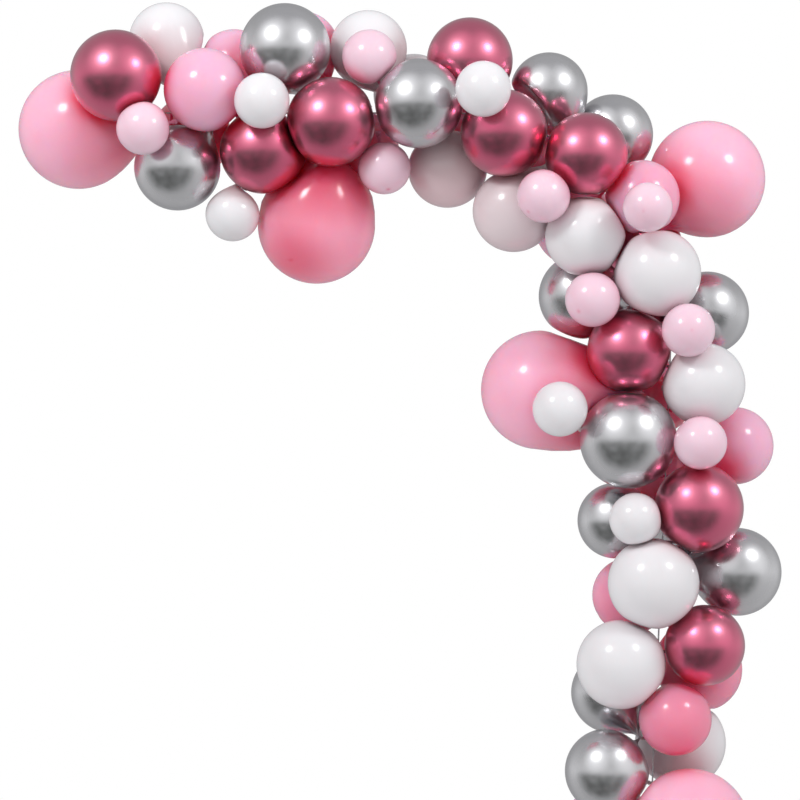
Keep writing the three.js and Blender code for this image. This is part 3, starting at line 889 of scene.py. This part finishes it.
# the strip


def keyholeOutline(count):
    # two eyes joined by a slot, seen from the middle of the hole: at each bearing the outline is the
    # farthest of the big eye, the small eye and the slot between them
    bearing = np.linspace(0, 2 * math.pi, count, endpoint=False) + math.pi / count
    ray = np.stack([np.cos(bearing), np.sin(bearing)], -1)
    bigAt = strip["holeLength"] / 2 - strip["bigEye"]
    smallAt = strip["holeLength"] / 2 - strip["smallEye"]

    def eyeReach(at, size):
        along = ray[:, 0] * at
        inside = size**2 - (at**2 - along**2)
        return np.where(inside > 0, along + np.sqrt(np.maximum(inside, 0)), 0)

    slotSide = strip["slot"] / np.maximum(np.abs(ray[:, 1]), tiny)
    slotEnd = smallAt / np.maximum(np.abs(ray[:, 0]), tiny)
    eyes = np.maximum(eyeReach(bigAt, strip["bigEye"]), eyeReach(-smallAt, strip["smallEye"]))
    reach = np.maximum(eyes, np.minimum(slotSide, slotEnd))
    return ray * reach[:, None], bearing


def tileBorder(bearing, halfLength, halfWidth):
    # the point of the tile's rectangle at each bearing: the nearer of its two walls
    cosine, sine = np.cos(bearing), np.sin(bearing)
    endWall = halfLength / np.maximum(np.abs(cosine), tiny)
    sideWall = halfWidth / np.maximum(np.abs(sine), tiny)
    reach = np.minimum(endWall, sideWall)
    return np.stack([cosine * reach, sine * reach], -1)


def stripTile(index, start, end):
    # rings up through the keyhole, out over the outer face to the tile's border and back over the
    # inner face, where the last meets the first, so the tile is closed
    middle = holeAlong(index)
    count = strip["ringPoints"]
    hole, bearing = keyholeOutline(count)
    if index % 2:  # every other keyhole is turned end for end
        hole[:, 0] *= -1
        hole = hole[::-1]
        bearing = (math.pi - bearing)[::-1]
    halfLength, halfWidth = strip["pitch"] / 2, strip["width"] / 2
    border = tileBorder(bearing, halfLength, halfWidth)
    corner = math.atan2(strip["width"], strip["pitch"])
    for quadrant in (corner, math.pi - corner, math.pi + corner, 2 * math.pi - corner):
        nearest = np.argmin(np.abs((bearing - quadrant + math.pi) % (2 * math.pi) - math.pi))
        border[nearest] = [np.sign(math.cos(quadrant)) * halfLength,
                           np.sign(math.sin(quadrant)) * halfWidth]
    border[:, 0] = border[:, 0] * np.where(border[:, 0] > 0, end - middle, middle - start) / halfLength
    edge, under = strip["edge"], -strip["thickness"]
    inset = border * (1 - edge / np.abs(border).max(0))
    inset[:, 0] = border[:, 0]
    rim, between = hole * strip["rim"], (hole + border) / 2
    rings = [(hole, under + edge), (hole, -edge), (rim, 0), (between, 0), (inset, 0),
             (border, -edge), (border, under + edge), (inset, under), (between, under), (rim, under)]
    flat = np.stack([np.column_stack([ring, np.full(count, depth)]) for ring, depth in rings])
    point, _, out = onStrip(middle + flat[..., 0])
    return point + towardsViewer * flat[..., 1, None] + out * flat[..., 2, None]


def buildStrip():
    # a tile round each hole, the last one reaching on to the strip's end
    parts = []
    for index in range(strip["holes"]):
        start = index * strip["pitch"]
        end = start + strip["pitch"] if index < strip["holes"] - 1 else strip["length"]
        points = stripTile(index, start, end)
        rows, columns = points.shape[:2]
        ring = np.arange(rows * columns).reshape(rows, columns)
        ahead = np.roll(ring, -1, 1)
        above, aheadAbove = np.roll(ring, -1, 0), np.roll(ahead, -1, 0)
        quads = np.stack([ring, ahead, aheadAbove, above], -1).reshape(-1, 4).tolist()
        parts.append((points.reshape(-1, 3), quads))
    piece = addPiece("strip_punched", *joinedParts(parts), materials["clear"])
    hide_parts("strip")


buildStrip()
print("strip built with", strip["holes"], "keyholes")

# glue dots between the small balloons and what they are stuck to

dot = {"radius": 7 * mm, "half": 1.1 * mm, "rings": 9, "columns": 20, "across": (0.2, 0.3, 0.9)}


def glueDots():
    # a flat bead: radius r sin a, height h cos a, laid on the touching place
    parts = []
    turn = np.linspace(0, 2 * math.pi, dot["columns"], endpoint=False)
    rise = np.linspace(0, math.pi, dot["rings"] + 2)[1:-1]
    for ball in gluedBalls:
        normal = ball["facing"]
        side = unit(np.cross(normal, dot["across"]))
        other = np.cross(normal, side)
        ring = dot["radius"] * np.sin(rise)[:, None, None] * (
            np.cos(turn)[None, :, None] * side + np.sin(turn)[None, :, None] * other)
        points = ball["touch"] + ring - normal * dot["half"] * np.cos(rise)[:, None, None]
        poles = ball["touch"] + np.array([[-1.0], [1.0]]) * normal * dot["half"]
        parts.append(closedPart(points, poles))
    piece = addPiece("glue_dots", *joinedParts(parts), materials["clear"])


glueDots()
print("glue dots laid:", len(gluedBalls))

# studio

studio = {
    "camera": (-0.06, -6.82, -0.72),
    "view": 2 * math.atan(1.0 / 6.8),  # the photo takes in 2 m at 6.8 m
    "aim": np.array([-0.06, -0.02, -0.72]),
    "boxDistance": 5.0,
    "glowWidth": 44,  # degrees off each lamp where the glow on the walls ends
    "floor": {"height": -1.945, "radius": 1.0, "sides": 96, "colour": grey(0.92), "roughness": 0.8},
}
softboxes = {
    "softboxLeft": {"direction": np.array([-0.478, -0.603, 0.637]),
                    "size": 1.15, "power": 88, "glow": 0.5},
    "softboxRight": {"direction": np.array([0.653, -0.493, 0.576]),
                     "size": 1.05, "power": 66, "glow": 0.42},
}
# the room that the balloons mirror: its brightness from the floor, at 0, up to the ceiling, at 1; the
# dark floor to the front and left, which clutter breaks up; and the dimmer wall behind
room = {
    "walls": ((0.0, grey(0.5)), (0.34, grey(0.62)), (0.5, grey(0.8)), (0.62, grey(0.66)),
              (0.8, grey(0.47)), (1.0, (0.46, 0.46, 0.47, 1))),
    "darkSide": (0.34, 0.94, 0),
    "darkAcross": (-0.1, -0.65),
    "darkUp": (0.12, -0.2),
    "darkColour": (0.05, 0.055, 0.05, 1),
    "clutter": {"scale": 5, "detail": 5},
    "clutterRange": (0.3, 0.6),
    "clutterShare": (0.45, 1),
    "behind": (0.35, 0.95),
    "behindColour": (0.36, 0.36, 0.37, 1),
    "diffuseLevel": 0.7,  # what matt surfaces are lit by, from every side
}


def addSoftbox(name, box):
    lamp = bpy.data.lights.new(name, "AREA")
    lamp.shape = "DISK"
    lamp.size = box["size"]
    lamp.energy = box["power"]
    made = addObject(name, lamp)
    made.location = studio["aim"] + box["direction"] * studio["boxDistance"]
    back = unit(box["direction"])
    side = unit(np.cross([0, 0, 1], back))
    up = np.cross(back, side)
    made.rotation_euler = Matrix((side, up, back)).transposed().to_euler()


def studioWorld():
    # brightness by direction for reflections, one level for matt surfaces, white for the camera
    world = bpy.data.worlds.new("studio")
    world.use_nodes = True
    tree = world.node_tree
    place = tree.nodes.new("ShaderNodeTexCoord").outputs["Generated"]
    split = tree.nodes.new("ShaderNodeSeparateXYZ")
    height = tree.nodes.new("ShaderNodeValToRGB")
    first, *between, last = room["walls"]
    for stop, (position, colour) in zip(height.color_ramp.elements, (first, last)):
        stop.position = position
        stop.color = colour
    for position, colour in between:
        stop = height.color_ramp.elements.new(position)
        stop.color = colour
    feed(tree, split.inputs, {0: place})
    feed(tree, height.inputs, {"Fac": addRange(tree, split.outputs["Z"], (-1, 1), kind="LINEAR")})
    lean = addVectorMath(tree, "DOT_PRODUCT", {0: place, 1: room["darkSide"]}, "Value")
    front = addRange(tree, lean, room["darkAcross"])
    low = addRange(tree, split.outputs["Z"], room["darkUp"])
    clutter = addNoise(tree, place, room["clutter"]["scale"], room["clutter"]["detail"])
    broken = addRange(tree, clutter, room["clutterRange"], room["clutterShare"], "LINEAR")
    dark = addMath(tree, "MULTIPLY", addMath(tree, "MULTIPLY", front, low), broken)
    lit = addMix(tree, dark, height.outputs["Color"], room["darkColour"])
    behind = addRange(tree, split.outputs["Y"], room["behind"])
    lit = addMix(tree, behind, lit, room["behindColour"])
    glowEnds = math.cos(math.radians(studio["glowWidth"]))
    for box in softboxes.values():  # the walls brighten by an ease of the cosine to each lamp
        facing = addVectorMath(tree, "DOT_PRODUCT", {0: place, 1: unit(box["direction"])}, "Value")
        glow = addRange(tree, facing, (glowEnds, 1), (0, box["glow"]))
        lit = addVectorMath(tree, "ADD", {0: lit, 1: glow})
    seen = tree.nodes.new("ShaderNodeLightPath")
    lit = addMix(tree, seen.outputs["Is Diffuse Ray"], lit, grey(room["diffuseLevel"]))
    lit = addMix(tree, seen.outputs["Is Camera Ray"], lit, grey(1))
    feed(tree, tree.nodes["Background"].inputs, {"Color": lit})
    bpy.context.scene.world = world


def paleFloor():
    # a disc: x = r cos a, y = r sin a
    floor = studio["floor"]
    turn = np.linspace(0, 2 * math.pi, floor["sides"], endpoint=False)
    points = np.stack([floor["radius"] * np.cos(turn) + studio["aim"][0], floor["radius"] * np.sin(turn),
                       np.full_like(turn, floor["height"])], -1)
    mesh = bpy.data.meshes.new("paleFloor")
    mesh.from_pydata(points.tolist(), [], [list(range(len(turn)))])
    material, tree, surface = newMaterial("palePaper")
    feed(tree, surface.inputs, {"Base Color": floor["colour"], "Roughness": floor["roughness"]})
    mesh.materials.append(material)
    made = addObject("paleFloor", mesh)
    made.visible_glossy = False


def addCamera():
    data = bpy.data.cameras.new("camera")
    data.sensor_fit = "HORIZONTAL"
    data.angle = studio["view"]
    camera = addObject("camera", data)
    camera.location = studio["camera"]
    camera.rotation_euler = (math.radians(90), 0, 0)
    bpy.context.scene.camera = camera


for name, box in softboxes.items():
    addSoftbox(name, box)
studioWorld()
paleFloor()
addCamera()
bpy.context.scene.view_settings.view_transform = "Standard"
print("studio ready")
